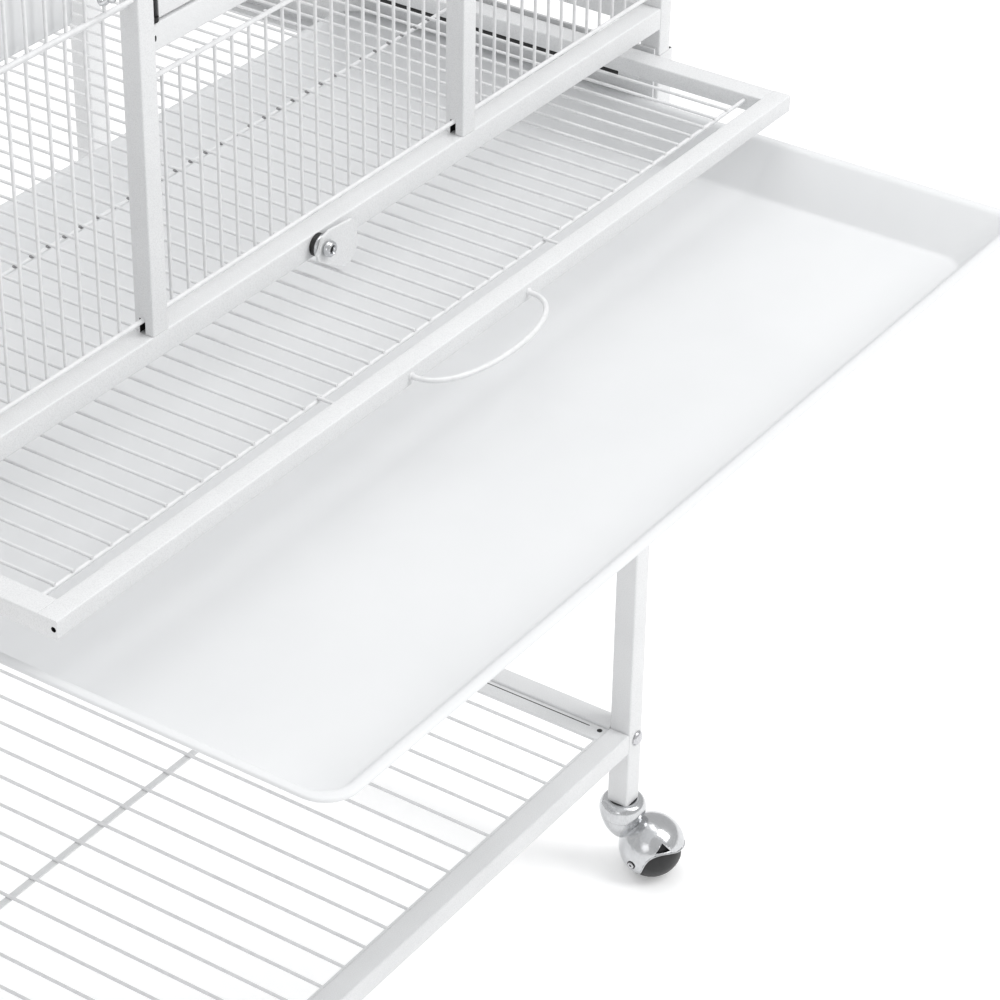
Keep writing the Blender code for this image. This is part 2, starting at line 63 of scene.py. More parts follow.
# ---------------------------------------------------------------- materials
class Shader:
    """A Principled material with helpers for its procedural nodes."""

    def __init__(self, name, colour, roughness, metallic=0.0, **sockets):
        self.mat = bpy.data.materials.new(name)
        self.mat.use_nodes = True
        self.tree = self.mat.node_tree
        self.out = self.tree.nodes["Principled BSDF"]
        self.out.inputs["Base Color"].default_value = (*colour, 1.0)
        self.out.inputs["Roughness"].default_value = roughness
        self.out.inputs["Metallic"].default_value = metallic
        for socket, value in sockets.items():
            self.out.inputs[socket.replace("_", " ")].default_value = value
        self.place = self.node("ShaderNodeTexCoord").outputs["Object"]

    def node(self, kind, **settings):
        made = self.tree.nodes.new(kind)
        for key, value in settings.items():
            setattr(made, key, value)
        return made

    def link(self, a, b):
        self.tree.links.new(a, b)

    def noise(self, scale, detail=2.0, roughness=0.5, stretch=None):
        made = self.node("ShaderNodeTexNoise")
        made.inputs["Scale"].default_value = scale
        made.inputs["Detail"].default_value = detail
        made.inputs["Roughness"].default_value = roughness
        place = self.place
        if stretch:
            mapping = self.node("ShaderNodeMapping")
            mapping.inputs["Scale"].default_value = stretch
            self.link(place, mapping.inputs["Vector"])
            place = mapping.outputs["Vector"]
        self.link(place, made.inputs["Vector"])
        return made.outputs["Fac"]

    def cells(self, scale, feature="SMOOTH_F1"):
        made = self.node("ShaderNodeTexVoronoi", feature=feature)
        made.inputs["Scale"].default_value = scale
        self.link(self.place, made.inputs["Vector"])
        return made.outputs["Distance"]

    def ramp(self, value, stops):
        """Colour ramp: stops are (position, colour) with colour a grey or a triple."""
        made = self.node("ShaderNodeValToRGB")
        elements = made.color_ramp.elements
        while len(elements) < len(stops):
            elements.new(0.5)
        for element, (position, colour) in zip(elements, stops):
            colour = (colour,) * 3 if isinstance(colour, (int, float)) else colour
            element.position, element.color = position, (*colour, 1.0)
        self.link(value, made.inputs["Fac"])
        return made.outputs["Color"]

    def mix(self, factor, a, b, blend="MIX"):
        made = self.node("ShaderNodeMix", data_type="RGBA", blend_type=blend)
        for socket, value in (("Factor", factor), ("A", a), ("B", b)):
            index = {"Factor": 0, "A": 6, "B": 7}[socket]
            if isinstance(value, (int, float)):
                made.inputs[index].default_value = value if index == 0 else (value,) * 3 + (1,)
            elif isinstance(value, tuple):
                made.inputs[index].default_value = (*value, 1.0)
            else:
                self.link(value, made.inputs[index])
        return made.outputs[2]

    def colour(self, value):
        self.link(value, self.out.inputs["Base Color"])

    def rough(self, value, low, high):
        made = self.node("ShaderNodeMapRange")
        made.inputs["To Min"].default_value = low
        made.inputs["To Max"].default_value = high
        self.link(value, made.inputs["Value"])
        self.link(made.outputs["Result"], self.out.inputs["Roughness"])

    def bump(self, *layers):
        """Layers are (height, strength, distance in metres)."""
        normal = None
        for height, strength, distance in layers:
            made = self.node("ShaderNodeBump")
            made.inputs["Strength"].default_value = strength
            made.inputs["Distance"].default_value = distance
            self.link(height, made.inputs["Height"])
            if normal:
                self.link(normal, made.inputs["Normal"])
            normal = made.outputs["Normal"]
        self.link(normal, self.out.inputs["Normal"])


def hammered_paint(name, light, dark):
    """White powder coat with a fine pebbled grain and a slightly uneven tone."""
    s = Shader(name, light, 0.42)
    grain = s.noise(1500, 2.0, 0.6)
    dimple = s.cells(620)
    tone = s.noise(22, 3.0)
    speckle = s.ramp(grain, [(0.30, dark), (0.50, light), (0.70, tuple(min(c * 1.04, 1) for c in light))])
    clouds = s.ramp(tone, [(0.3, 0.965), (0.7, 1.0)])
    s.colour(s.mix(1.0, speckle, clouds, "MULTIPLY"))
    s.rough(grain, 0.34, 0.52)
    s.bump((dimple, 0.30, 0.0004), (grain, 0.25, 0.0003))
    return s.mat


def smooth_paint(name, light, dark):
    """Smooth white coat on the wires, a little thicker in places."""
    s = Shader(name, light, 0.32)
    flow = s.noise(160, 2.0)
    fine = s.noise(1800, 1.0)
    s.colour(s.ramp(flow, [(0.3, dark), (0.6, light)]))
    s.rough(fine, 0.26, 0.40)
    s.bump((flow, 0.20, 0.0005), (fine, 0.10, 0.0001))
    return s.mat


def moulded_plastic(name, light, dark):
    """Satin moulded plastic with a very fine etched grain and faint flow clouds."""
    s = Shader(name, light, 0.45)
    etch = s.noise(2600, 2.0, 0.6)
    clouds = s.noise(7, 3.0, 0.55)
    s.colour(s.ramp(clouds, [(0.30, dark), (0.65, light)]))
    s.rough(etch, 0.38, 0.54)
    s.bump((etch, 0.12, 0.0002), (clouds, 0.10, 0.002))
    return s.mat


def plated_metal(name, colour, low, high, wave):
    """Bright plated metal: slightly wavy, with fine scuffs."""
    s = Shader(name, colour, low, 1.0)
    scuff = s.noise(900, 3.0, 0.65, (1.0, 1.0, 0.25))
    swell = s.noise(95, 2.0)
    s.colour(s.ramp(scuff, [(0.30, tuple(c * 0.86 for c in colour)), (0.62, colour)]))
    s.rough(scuff, low, high)
    s.bump((swell, wave, 0.0008), (scuff, 0.06, 0.0001))
    return s.mat


def black_rubber_and_shade(name, colour, high):
    """Matt dark finish with a little dust: the tyres, and painted shade for the inside of open tubes, gaps and
    recesses and for dark welds.
    """
    s = Shader(name, colour, 0.5)
    grain = s.noise(1400, 3.0, 0.6)
    dust = s.noise(60, 4.0, 0.6)
    s.colour(s.ramp(dust, [(0.35, colour), (0.75, high)]))
    s.rough(grain, 0.34, 0.55)
    s.bump((grain, 0.15, 0.0002))
    return s.mat


TUBE = hammered_paint("white_hammertone", (0.745, 0.750, 0.755), (0.660, 0.665, 0.672))
WIRE = smooth_paint("white_wire", (0.765, 0.769, 0.774), (0.705, 0.709, 0.715))
PLASTIC = moulded_plastic("white_moulding", (0.752, 0.759, 0.766), (0.724, 0.732, 0.740))
CHROME = plated_metal("bright_chrome", (0.64, 0.648, 0.66), 0.14, 0.26, 0.45)
ZINC = plated_metal("zinc_screw", (0.62, 0.62, 0.64), 0.20, 0.36, 0.15)
# Black tyres; the same black is painted on the hinge pin as the shade of the gap beside the door.
RUBBER_AND_SHADE = black_rubber_and_shade("black_tyre_and_hinge_shade", (0.007, 0.007, 0.008), (0.017, 0.017, 0.018))
# Dark grey for the welds on the grate's middle rod: painted shade where the wires cross it.
WELD_SHADE = black_rubber_and_shade("weld_painted_shade", (0.20, 0.20, 0.205), (0.30, 0.30, 0.305))
# Near-black painted shade inside holes, gaps and recesses, and for dark strips put where there is only shade.
PAINTED_SHADE = black_rubber_and_shade("painted_shade_black", (0.006, 0.006, 0.007), (0.012, 0.012, 0.012))


# ---------------------------------------------------------------- making pieces
def add(name, bm, mats, body, nodes=(), smooth=True, angle=40):
    """Turn a bmesh into a piece that rides on a body and may stand for CAD nodes."""
    bmesh.ops.recalc_face_normals(bm, faces=bm.faces)
    mesh = bpy.data.meshes.new(name)
    bm.to_mesh(mesh)
    bm.free()
    for mat in (mats if isinstance(mats, (list, tuple)) else [mats]):
        mesh.materials.append(mat)
    if smooth:
        mesh.shade_smooth()
        mesh.set_sharp_from_angle(angle=math.radians(angle))
    obj = bpy.data.objects.new(name, mesh)
    bpy.context.scene.collection.objects.link(obj)
    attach(obj, body)
    if nodes:
        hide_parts(*nodes)
    return obj


def ring_pairs(bm, rings, closed_ring=True):
    """Quads between successive rings of vertices."""
    for a, b in zip(rings, rings[1:]):
        count = len(a)
        for i in range(count if closed_ring else count - 1):
            j = (i + 1) % count
            bm.faces.new((a[i], a[j], b[j], b[i]))


def capped(bm, rings):
    """Closed solid through rings of vertices, with a flat face at each end."""
    ring_pairs(bm, rings)
    bm.faces.new(rings[0])
    bm.faces.new(rings[-1])


def sweep(bm, path, radius, sides=10, cyclic=False):
    """Round bar along a path of points."""
    path = [Vector(p) for p in path]
    count = len(path)
    tangents = []
    for i in range(count):
        a = path[(i - 1) % count] if cyclic or i else path[i]
        b = path[(i + 1) % count] if cyclic or i < count - 1 else path[i]
        tangents.append((b - a).normalized())
    side = tangents[0].orthogonal().normalized()
    rings = []
    for point, tangent in zip(path, tangents):
        side = (side - tangent * side.dot(tangent)).normalized()
        other = tangent.cross(side)
        rings.append([bm.verts.new(point + radius * (side * math.cos(t) + other * math.sin(t)))
                      for t in (2 * math.pi * k / sides for k in range(sides))])
    if cyclic:
        rings.append(rings[0])
    ring_pairs(bm, rings)
    if not cyclic:
        bm.faces.new(rings[0])
        bm.faces.new(rings[-1])


def rounded_outline(w, h, r, steps=4):
    """Counter-clockwise rounded rectangle about the origin."""
    points = []
    for cx, cy, start in ((w - r, h - r, 0), (r - w, h - r, 90), (r - w, r - h, 180), (w - r, r - h, 270)):
        for k in range(steps + 1):
            t = math.radians(start + 90 * k / steps)
            points.append((cx + r * math.cos(t), cy + r * math.sin(t)))
    return points


def bar(bm, low, high, radius=0.0016, axis=None, end=0.0002, steps=4):
    """Rectangular bar with rounded long edges and a hair of softness at its ends."""
    low, high = Vector(low), Vector(high)
    size, centre = high - low, (low + high) / 2
    if axis is None:
        axis = max(range(3), key=lambda i: size[i])
    u, v = [i for i in range(3) if i != axis]
    rings = []
    for t, inset in ((-0.5, end), (-0.5 + end / size[axis], 0.0), (0.5 - end / size[axis], 0.0), (0.5, end)):
        ring = []
        for a, b in rounded_outline(size[u] / 2 - inset, size[v] / 2 - inset, radius - inset / 2, steps):
            p = centre.copy()
            p[u] += a
            p[v] += b
            p[axis] += t * size[axis]
            ring.append(bm.verts.new(p))
        rings.append(ring)
    capped(bm, rings)


def softened(outline, radius, steps=4):
    """An outline with a short curve in place of each corner."""
    points = []
    for i, corner in enumerate(outline):
        corner = Vector(corner)
        a, b = Vector(outline[i - 1]) - corner, Vector(outline[(i + 1) % len(outline)]) - corner
        reach = min(radius, a.length * 0.45, b.length * 0.45)
        a, b = corner + a.normalized() * reach, corner + b.normalized() * reach
        points += [(1 - t) ** 2 * a + 2 * t * (1 - t) * corner + t * t * b
                   for t in (k / steps for k in range(steps + 1))]
    return points


def prism(bm, outline, place, low, high, radius):
    """Bar with a softened outline; place turns (u, v, height) into a point."""
    outline = softened(outline, radius)
    capped(bm, [[bm.verts.new(place(u, v, h)) for u, v in outline] for h in (low, high)])


def turned(bm, profile, centre, axis, segments=40, turn=0.0):
    """Solid of revolution: profile is (radius, height) pairs along the axis direction."""
    axis = Vector(axis).normalized()
    side = Vector((0, 0, 1)) if abs(axis.z) < 0.9 else Vector((1, 0, 0))
    side = (side - axis * side.dot(axis)).normalized()
    other = axis.cross(side)
    centre = Vector(centre)
    rings = []
    for r, h in profile:
        base = centre + axis * h
        if r < 1e-7:
            rings.append([bm.verts.new(base)])
            continue
        rings.append([bm.verts.new(base + r * (side * math.cos(t) + other * math.sin(t)))
                      for t in (turn + 2 * math.pi * k / segments for k in range(segments))])
    for a, b in zip(rings, rings[1:]):
        for i in range(segments):
            j = (i + 1) % segments
            if len(a) == 1 and len(b) > 1:
                bm.faces.new((a[0], b[j], b[i]))
            elif len(b) == 1 and len(a) > 1:
                bm.faces.new((a[i], a[j], b[0]))
            elif len(a) > 1:
                bm.faces.new((a[i], a[j], b[j], b[i]))


def dot(bm, centre, radius, squash=(1, 1, 1), segments=10):
    """Small rounded blob, such as a weld."""
    place = Matrix.Translation(centre) @ Matrix.Diagonal((*squash, 1.0))
    bmesh.ops.create_uvsphere(bm, u_segments=segments, v_segments=max(6, segments // 2 + 2),
                              radius=radius, matrix=place)


def carve(obj, cutter_bm, mat=None):
    """Cut a shape out of a piece; the cut faces take the given material."""
    mesh = bpy.data.meshes.new(obj.name + "_cut")
    bmesh.ops.recalc_face_normals(cutter_bm, faces=cutter_bm.faces)
    cutter_bm.to_mesh(mesh)
    cutter_bm.free()
    mesh.materials.append(mat or obj.data.materials[0])
    tool = bpy.data.objects.new(obj.name + "_tool", mesh)
    bpy.context.scene.collection.objects.link(tool)
    modifier = obj.modifiers.new("cut", "BOOLEAN")
    modifier.operation, modifier.object, modifier.solver = "DIFFERENCE", tool, "EXACT"
    modifier.material_mode = "TRANSFER"
    bpy.context.view_layer.update()
    graph = bpy.context.evaluated_depsgraph_get()
    made = bpy.data.meshes.new_from_object(obj.evaluated_get(graph))
    obj.modifiers.clear()
    obj.data = made
    made.name = obj.name
    bpy.data.objects.remove(tool)
    return obj


def block_bm(low, high):
    """Plain box, used as a cutter."""
    bm = bmesh.new()
    low, high = Vector(low), Vector(high)
    bmesh.ops.create_cube(bm, size=1.0, matrix=Matrix.Translation((low + high) / 2)
                          @ Matrix.Diagonal((*(high - low), 1.0)))
    return bm


# ---------------------------------------------------------------- square tubes
def square_tube(node, radius):
    """Square tube in place of a node, with its long edges rounded."""
    low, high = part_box(node)
    bm = bmesh.new()
    bar(bm, low, high, radius)
    return add(node + "_tube", bm, TUBE, BODY_OF[node], [node])


for node in ("shelf_front_rail", "shelf_back_rail"):
    square_tube(node, 0.0016)
for node in ("rail_front", "rail_back", "rail_left", "rail_right"):
    square_tube(node, 0.0013)
for side in ("left", "right"):
    for end in ("front", "back"):
        leg = square_tube(f"leg_{end}_{side}", 0.0018)
        low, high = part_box(f"leg_{end}_{side}")
        # The open top of each leg is cut out, and its inside is painted black as shade.
        wall = Vector((0.0009, 0.0009, 0))
        carve(leg, block_bm(Vector((low.x, low.y, high.z - 0.012)) + wall,
                            Vector((high.x, high.y, high.z + 0.002)) - wall), PAINTED_SHADE)
        square_tube(f"post_{end}_{side}", 0.0013)
    node = f"post_middle_{side}"
    low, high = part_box(node)
    fold, tuck = high.y - 0.006, 0.003
    bm = bmesh.new()
    prism(bm, [(low.x, low.y), (high.x, low.y), (high.x, fold), (high.x - tuck, high.y),
               (low.x + tuck, high.y), (low.x, fold)], lambda u, v, h: (u, v, h), low.z, high.z, 0.0013)
    post = add(node + "_tube", bm, TUBE, "cage", [node])
    # A slot at the foot of the post, its inside painted black as shade.
    carve(post, block_bm((low.x - 0.001, FRONT + 0.0062, low.z - 0.001),
                         (low.x + 0.005, FRONT + 0.0108, low.z + 0.0105)), PAINTED_SHADE)
square_tube("sill_bar", 0.0013)

low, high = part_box("top_frame")
bm = bmesh.new()
tube = 0.017
bar(bm, (low.x, low.y, low.z), (high.x, low.y + tube, high.z), 0.0013)
bar(bm, (low.x, high.y - tube, low.z), (high.x, high.y, high.z), 0.0013)
bar(bm, (low.x, low.y + tube, low.z), (low.x + tube, high.y - tube, high.z), 0.0013)
bar(bm, (high.x - tube, low.y + tube, low.z), (high.x, high.y - tube, high.z), 0.0013)
add("top_frame_tubes", bm, TUBE, "cage", ["top_frame"])


# ---------------------------------------------------------------- wire panels
def spread(centre, pitch, count):
    """Evenly spaced positions about a centre."""
    return [centre + pitch * (i - (count - 1) / 2) for i in range(count)]


def wire_panel(node, along, up, centre, count, outward, rods, reach=0.0008, mat=WIRE):
    """Round wires welded behind round rods.  along and up are axis numbers, outward the
    direction the rods stand off in, rods their heights."""
    low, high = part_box(node)
    normal = 3 - along - up
    middle = (low[normal] + high[normal]) / 2

    def point(a, u, n):
        p = Vector((0, 0, 0))
        p[along], p[up], p[normal] = a, u, n
        return p

    bm = bmesh.new()
    wires = spread(centre, PITCH, count)
    rod_n, wire_n = middle + outward * 0.0013, middle - outward * 0.0012
    for height in rods:
        sweep(bm, [point(low[along] - reach, height, rod_n), point(high[along] + reach, height, rod_n)],
              ROD_R, 12)
    for a in wires:
        sweep(bm, [point(a, rods[0] - 0.0008, wire_n), point(a, rods[-1] + 0.0008, wire_n)], WIRE_R, 10)
        for height in rods:
            dot(bm, point(a, height, middle), 0.0011, segments=8)
    return add(node + "_wires", bm, mat, BODY_OF[node], [node])


def rod_heights(node, *between):
    """Heights of a panel's bottom and top rods, with any rods between them."""
    low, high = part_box(node)
    return [low.z + 0.0017, *between, high.z - 0.0017]


for side, sx in (("left", -1), ("right", 1)):
    for level in ("low", "high"):
        node = f"panel_{level}_{side}"
        wire_panel(node, ALONG_X, ALONG_Z, sx * 0.2975, 13, -1, rod_heights(node))
    node = f"panel_{side}"
    low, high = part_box(node)
    wire_panel(node, ALONG_Y, ALONG_Z, (low.y + high.y) / 2, 32, sx, rod_heights(node, (low.z + high.z) / 2))
for level in ("low", "high"):
    node = f"panel_{level}_middle"
    wire_panel(node, ALONG_X, ALONG_Z, 0.0, 18, -1, rod_heights(node))
low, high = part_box("panel_back")
wire_panel("panel_back", ALONG_X, ALONG_Z, 0.0, 48, 1, rod_heights("panel_back", (low.z + high.z) / 2))
low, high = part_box("panel_top")
wire_panel("panel_top", ALONG_X, ALONG_Y, 0.0, 48, 1, [low.y + 0.0017, (low.y + high.y) / 2, high.y - 0.0017])


# ---------------------------------------------------------------- grate
low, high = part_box("grate_frame")
bm = bmesh.new()
front_w, side_w = 0.015, 0.018
bar(bm, low, (high.x, low.y + front_w, high.z), 0.0012)
front_bar = add("grate_front_tube", bm, TUBE, "grate")
# Holes in the ends of the front tube, their insides painted black as shade.
for x in (low.x, high.x):
    tool = bmesh.new()
    turned(tool, [(0.0, -0.004), (0.0018, -0.004), (0.0018, 0.004), (0.0, 0.004)],
           (x, low.y + 0.0026, (low.z + high.z) / 2), (1, 0, 0), 24)
    carve(front_bar, tool, PAINTED_SHADE)
bm = bmesh.new()
bar(bm, (low.x, high.y - front_w, low.z), high, 0.0012)
for x0, x1 in ((low.x, low.x + side_w), (high.x - side_w, high.x)):
    bar(bm, (x0, low.y + front_w - 0.0004, low.z), (x1, high.y - front_w + 0.0004, high.z), 0.0012)
add("grate_frame_tubes", bm, TUBE, "grate", ["grate_frame"])
grate_front, grate_back = low.y, high.y

low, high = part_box("grate_wires")
bm = bmesh.new()
rod_ys = [low.y + 0.0015, FRONT + 0.175, high.y - 0.0015]
wire_xs = spread(-0.0065, 0.01692, 45)
wire_z = high.z - 0.0012
for y in rod_ys:
    sweep(bm, [(low.x - 0.001, y, wire_z - 0.0024), (high.x + 0.001, y, wire_z - 0.0024)], 0.0015, 12)
for x in wire_xs:
    sweep(bm, [(x, rod_ys[0] - 0.001, wire_z), (x, grate_back - front_w + 0.001, wire_z)], WIRE_R, 10)
    for y in rod_ys[::2]:
        dot(bm, (x, y, wire_z - 0.0013), 0.0011, segments=8)
for x in (0.127, -0.127):
    sweep(bm, [(x, rod_ys[0], wire_z), (x, grate_front + front_w - 0.001, wire_z)], WIRE_R, 10)
add("grate_wires_round", bm, WIRE, "grate", ["grate_wires"])
# Dark weld dots where the wires cross the middle rod: painted shade of the crossings.
bm = bmesh.new()
for x in wire_xs:
    dot(bm, (x, rod_ys[1] - 0.0003, wire_z - 0.0011), 0.0018, (1.6, 1.0, 0.8), 10)
add("grate_mid_welds", bm, WELD_SHADE, "grate", ())

low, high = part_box("grate_handle")
bm = bmesh.new()
arc = []
steps = 48
for i in range(steps + 1):
    t = math.pi * i / steps
    reach = (high.y - low.y - 0.0022) * math.sin(t) ** 0.8
    arc.append((-(high.x - 0.002) * math.cos(t), high.y + 0.0002 - reach, (low.z + high.z) / 2))
sweep(bm, arc, 0.0019, 14)
for sx in (-1, 1):
    dot(bm, (sx * (high.x - 0.002), high.y + 0.0001, (low.z + high.z) / 2), 0.0030, (1, 0.5, 1), 14)
add("grate_handle_bow", bm, WIRE, "grate", ["grate_handle"])


# ---------------------------------------------------------------- tray
def moulding(node, levels, body, steps):
    """Thin-walled moulded tub in place of a node: levels are (inset, z, corner radius), going
    up the outside, over the lip and down the inside to the floor."""
    low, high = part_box(node)
    centre, half = (low + high) / 2, (high - low) / 2
    bm = bmesh.new()
    capped(bm, [[bm.verts.new((centre.x + x, centre.y + y, z))
                 for x, y in rounded_outline(half.x - inset, half.y - inset, r, steps)]
                for inset, z, r in levels])
    add(node + "_moulding", bm, PLASTIC, body, [node], angle=60)


low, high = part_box("tray")
wall = 0.0025
moulding("tray", [
    (0.0400, low.z, 0.012), (0.0350, low.z + 0.0004, 0.014), (0.0315, low.z + 0.0022, 0.016),
    (0.0290, low.z + 0.0052, 0.017), (0.0085, high.z - 0.0045, 0.0210), (0.0070, high.z - 0.0032, 0.0215),
    (0.0040, high.z - 0.0030, 0.0220), (0.0012, high.z - 0.0028, 0.0220), (0.0000, high.z - 0.0018, 0.0220),
    (0.0004, high.z - 0.0006, 0.0220), (0.0018, high.z, 0.0215), (0.0052, high.z, 0.0205),
    (0.0072, high.z - 0.0006, 0.0200), (0.0088, high.z - 0.0022, 0.0190), (0.0306, low.z + 0.0062, 0.0160),
    (0.0318, low.z + 0.0044, 0.0155), (0.0332, low.z + wall + 0.0005, 0.0150),
    (0.0352, low.z + wall, 0.0140)], "tray", 8)

# ---------------------------------------------------------------- guides, lock
for node in ("guide_left", "guide_right"):
    obj = frame["nodes"][node]
    obj.data.materials.clear()
    obj.data.materials.append(TUBE)
# Thin black strips along the guides: painted shade of the gap under the side rails.
bm = bmesh.new()
for sx in (-1, 1):
    x0, x1 = sorted((sx * 0.3920, sx * 0.3932))
    bar(bm, (x0, FRONT + 0.020, 0.7752), (x1, BACK - 0.080, 0.7795), 0.0003, ALONG_Y)
add("guide_shade", bm, PAINTED_SHADE, "cage", ())
lock = frame["nodes"]["lock_plate"]
lock.data.materials.clear()
lock.data.materials.append(TUBE)

low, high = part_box("lock_bolt")
centre = Vector(((low.x + high.x) / 2, high.y, (low.z + high.z) / 2))
bm = bmesh.new()
turned(bm, [(0.0, 0.0038), (0.0082, 0.0038), (0.0087, 0.0042), (0.0088, 0.0050), (0.0086, 0.0057),
            (0.0080, 0.0060), (0.0064, 0.0060), (0.0061, 0.0058), (0.0030, 0.0058), (0.0030, 0.0094),
            (0.0054, 0.0094), (0.0057, 0.0098), (0.0058, 0.0108), (0.0054, 0.0124), (0.0044, 0.0133),
            (0.0034, 0.0135), (0.0030, 0.0130), (0.0026, 0.0112), (0.0, 0.0112)], centre, OUT, 56)
add("lock_bolt_head", bm, CHROME, "cage", ["lock_bolt"], angle=50)
# A black disc behind the flange and a black disc in the head: painted shade next to the rail and in the head's
# recess.
bm = bmesh.new()
turned(bm, [(0.0, 0.0), (0.0080, 0.0), (0.0078, 0.0040), (0.0, 0.0040)], centre, OUT, 48)
turned(bm, [(0.0, 0.0113), (0.0024, 0.0113), (0.0024, 0.0116), (0.0, 0.0116)], centre, OUT, 6)
add("lock_bolt_shade", bm, PAINTED_SHADE, "cage", ())

# ---------------------------------------------------------------- doors and feeders
square = 0.018
low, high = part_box("main_door")
y0, y1 = low.y, high.y
bm = bmesh.new()
bar(bm, low, (high.x, y1, low.z + square), 0.0014, ALONG_X)
bar(bm, (low.x, y0, high.z - square), high, 0.0014, ALONG_X)
for x0, x1 in ((low.x, low.x + square), (high.x - square, high.x)):
    bar(bm, (x0, y0, low.z + square - 0.0003), (x1, y1, high.z - square + 0.0003), 0.0014, ALONG_Z)
add("main_door_tubes", bm, TUBE, "main_door", ["main_door"])
bm = bmesh.new()
mid_y = FRONT + 0.0054
z0, z1 = low.z + square, high.z - square
for x in spread((low.x + high.x) / 2, PITCH, 16):
    sweep(bm, [(x, mid_y + 0.0012, z0 - 0.001), (x, mid_y + 0.0012, z1 + 0.001)], WIRE_R, 10)
    dot(bm, (x, mid_y, (z0 + z1) / 2), 0.0011, segments=8)
sweep(bm, [(low.x + square - 0.001, mid_y - 0.0013, (z0 + z1) / 2),
           (high.x - square + 0.001, mid_y - 0.0013, (z0 + z1) / 2)], ROD_R, 12)
add("main_door_wires", bm, WIRE, "main_door", ())

for side, sx in (("left", -1), ("right", 1)):
    node = f"feeder_door_{side}"
    low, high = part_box(node)
    wire_panel(node, ALONG_X, ALONG_Z, sx * 0.304, 13, -0.3, rod_heights(node), reach=0.0)
    cup = f"feeder_cup_{side}"
    low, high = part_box(cup)
    moulding(cup, [
        (0.0085, low.z, 0.006), (0.0060, low.z + 0.0004, 0.007), (0.0048, low.z + 0.0022, 0.008),
        (0.0030, high.z - 0.0080, 0.009), (0.0026, high.z - 0.0050, 0.009), (0.0004, high.z - 0.0042, 0.010),
        (0.0, high.z - 0.0030, 0.010), (0.0, high.z - 0.0010, 0.010), (0.0010, high.z, 0.0095),
        (0.0026, high.z, 0.009), (0.0036, high.z - 0.0010, 0.008), (0.0060, low.z + 0.0060, 0.007),
        (0.0075, low.z + 0.0028, 0.0060), (0.0110, low.z + 0.0022, 0.0050)], BODY_OF[cup], 6)

for node in ("main_latch", "feeder_latch_left", "feeder_latch_right"):
    low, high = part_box(node)
    wing = node != "main_latch"
    spot = Vector(((low.x + high.x) / 2, high.y, (low.z + high.z) / 2))
    if not wing:
        spot.z = high.z - 0.0065
    boss = min(0.0062, (high.z - low.z) / 2) if wing else 0.0062
    bm = bmesh.new()
    deep = high.y - low.y
    turned(bm, [(0.0, 0.0), (boss * 0.92, 0.0), (boss, 0.0004), (boss, 0.0018), (boss * 0.86, 0.0026),
                (boss * 0.55, 0.0030), (boss * 0.5, deep - 0.0012), (boss * 0.40, deep - 0.0003),
                (0.0, deep)], spot, OUT, 36)
    mid = low.y + deep * 0.36
    if wing:
        for sx in (-1, 1):
            dot(bm, (spot.x + sx * 0.0060, mid, spot.z), 0.0044, (1.0, 0.36, 0.62), 24)
    else:
        sweep(bm, [(spot.x, mid, spot.z - t) for t in (0.0, 0.006, 0.012, 0.0165)], 0.0019, 14)
        dot(bm, (spot.x, mid, low.z + 0.0026), 0.0025, (1.0, 0.8, 1.0), 20)
    add(node + "_lever", bm, CHROME, BODY_OF[node], [node], angle=50)

low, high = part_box("door_hinge_pin")
spot = Vector(((low.x + high.x) / 2, (low.y + high.y) / 2, 0))
pin = (high.x - low.x) / 2
# The hinge pin is black: painted shade of the gap between the door and the post.
bm = bmesh.new()
turned(bm, [(0.0, low.z), (pin * 0.8, low.z), (pin, low.z + 0.0004), (pin, high.z - 0.0004),
            (pin * 0.8, high.z), (0.0, high.z)], spot, (0, 0, 1), 24)
add("door_hinge_rod", bm, RUBBER_AND_SHADE, "cage", ["door_hinge_pin"])
# Black ring at the foot of the pin: painted shade.
bm = bmesh.new()
turned(bm, [(0.0, low.z + 0.0010), (0.0022, low.z + 0.0010), (0.0022, low.z + 0.0040), (0.0, low.z + 0.0040)],
       spot, (0, 0, 1), 24)
add("door_hinge_shade_ring", bm, PAINTED_SHADE, "cage", ())
# Black blob below the hinge: painted shadow.
bm = bmesh.new()
dot(bm, (low.x + 0.0002, FRONT + 0.0012, low.z - 0.0096), 0.0013, (0.8, 0.5, 1.6), 12)
add("door_hinge_shadow_blob", bm, PAINTED_SHADE, "cage", ())

# ---------------------------------------------------------------- shelf
low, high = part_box("shelf")
bm = bmesh.new()
top, height = high.z, high.z - low.z
leg_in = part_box("leg_front_right")[0].x
strip_out, strip_in = 0.4178, 0.400     # edges of the flat strips inside the side tubes
z = top - 0.0040
for sx in (-1, 1):
    x0, x1 = sorted((sx * leg_in, sx * high.x))
    bar(bm, (x0, low.y, low.z), (x1, high.y, high.z), 0.0016, ALONG_Y)
    x0, x1 = sorted((sx * strip_in, sx * strip_out))
    bar(bm, (x0, low.y, z - 0.0015), (x1, high.y, z + 0.0015), 0.0006, ALONG_Y)
middle = (low.y + high.y) / 2
reach = strip_in + 0.001
for y0, y1, z0, z1 in ((middle - 0.0032, middle + 0.0032, z - 0.0030, z - 0.0014),
                       (low.y, low.y + 0.0040, z - 0.0015, z + 0.0010),
                       (high.y - 0.0040, high.y, z - 0.0015, z + 0.0010)):
    bar(bm, (-reach, y0, z0), (reach, y1, z1), 0.0005, ALONG_X)
for sx in (-1, 1):
    for y in (FRONT + 0.18, BACK - 0.18):
        x0, x1 = sorted((sx * (strip_out - 0.002), sx * (leg_in + 0.002)))
        bar(bm, (x0, y - 0.01, top - 0.0050), (x1, y + 0.01, top - 0.0030), 0.0005, ALONG_Y)
add("shelf_tubes", bm, TUBE, "cage", ["shelf"])
